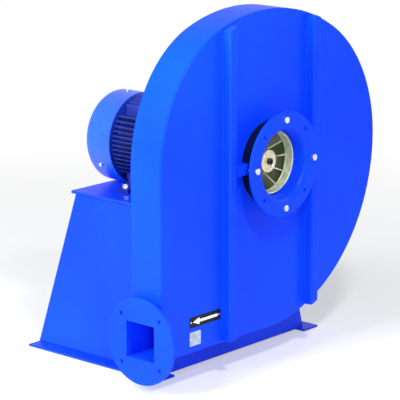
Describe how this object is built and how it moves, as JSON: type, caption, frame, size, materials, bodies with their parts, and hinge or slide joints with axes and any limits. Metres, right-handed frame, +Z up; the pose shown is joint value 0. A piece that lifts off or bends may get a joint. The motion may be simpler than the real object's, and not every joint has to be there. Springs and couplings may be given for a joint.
{
  "type": "centrifugal blower",
  "caption": "Direct drive centrifugal blower: narrow scroll casing with round inlet and outlet flanges, finned foot mounted motor on a flared sheet stand.",
  "frame": {"origin": "centre of the floor bolt rectangle, on the floor", "axes": "+Z up, +Y along the shaft from the inlet to the motor, +X to the right seen from the inlet; the outlet faces -X"},
  "size_m": [0.924, 0.6515, 0.9731],
  "materials": {
    "casing_blue": "gloss",
    "stand_blue": "gloss",
    "motor_blue": "satin",
    "zinc": "bright zinc plate",
    "wheel_steel": "dull, with a greenish cast",
    "hub_steel": "turned, yellowish",
    "seal_plate_aluminium": "satin",
    "felt": "dull",
    "machined_steel": "ground",
    "dark_steel": "black oxide",
    "laminations": "dull",
    "copper": "varnished copper",
    "cage_brass": "satin",
    "black_plastic": "matte"
  },
  "bodies": {
    "housing": {"front_plate": "casing_blue", "scroll_band": "casing_blue", "rear_plate": "casing_blue", "cutoff_tongue": "casing_blue", "outlet_neck": "casing_blue", "outlet_flange": "casing_blue", "front_rib_left": "casing_blue", "front_rib_right": "casing_blue", "collar_bars": "casing_blue", "inlet_collar": "casing_blue", "inlet_flange": "casing_blue", "inlet_cone": "casing_blue", "mounting_disc": "casing_blue", "stand_left_panel": "stand_blue", "stand_right_panel": "stand_blue", "stand_front_panel": "stand_blue", "stand_rear_panel": "stand_blue", "stand_top_plate": "stand_blue", "left_foot_rail": "stand_blue", "right_foot_rail": "stand_blue", "motor_frame": "motor_blue", "motor_left_foot": "motor_blue", "motor_right_foot": "motor_blue", "drive_shield": "motor_blue", "fan_shield": "motor_blue", "fan_cowl": "motor_blue", "terminal_box": "motor_blue", "terminal_lid": "motor_blue", "inlet_bolts": "zinc", "disc_bolts": "zinc", "seal_screws": "zinc", "motor_foot_fasteners": "zinc", "shield_screws": "zinc", "cowl_screws": "zinc", "terminal_screws": "zinc", "seal_plate": "seal_plate_aluminium", "shaft_seal_felt": "felt", "drive_bearing_outer": "machined_steel", "fan_bearing_outer": "machined_steel", "stator_core": "laminations", "stator_winding": "copper", "cable_gland": "black_plastic"},
    "rotor": {"motor_shaft": "machined_steel", "rotor_core": "laminations", "shaft_key": "dark_steel", "cooling_fan": "black_plastic", "impeller_back_disc": "wheel_steel", "impeller_blades": "wheel_steel", "impeller_shroud": "wheel_steel", "impeller_eye_ring": "wheel_steel", "impeller_hub": "hub_steel", "impeller_rivets": "wheel_steel", "clamp_washer": "hub_steel", "clamp_bolt": "dark_steel", "drive_bearing_inner": "machined_steel", "fan_bearing_inner": "machined_steel"},
    "drive_cage": {"drive_bearing_cage": "cage_brass", "drive_bearing_balls": "machined_steel"},
    "fan_cage": {"fan_bearing_cage": "cage_brass", "fan_bearing_balls": "machined_steel"}
  },
  "joints": [
    {"name": "rotor_spin", "type": "hinge", "parent": "housing", "child": "rotor", "pos_m": [0, 0, 0.56], "axis": [0, 1, 0], "continuous": true},
    {"name": "drive_cage_spin", "type": "hinge", "parent": "housing", "child": "drive_cage", "pos_m": [0, 0, 0.56], "axis": [0, 1, 0], "continuous": true},
    {"name": "fan_cage_spin", "type": "hinge", "parent": "housing", "child": "fan_cage", "pos_m": [0, 0, 0.56], "axis": [0, 1, 0], "continuous": true}
  ],
  "couplings": [
    {"joint": "drive_cage_spin", "follows": "rotor_spin", "ratio": 0.4},
    {"joint": "fan_cage_spin", "follows": "rotor_spin", "ratio": 0.4}
  ]
}
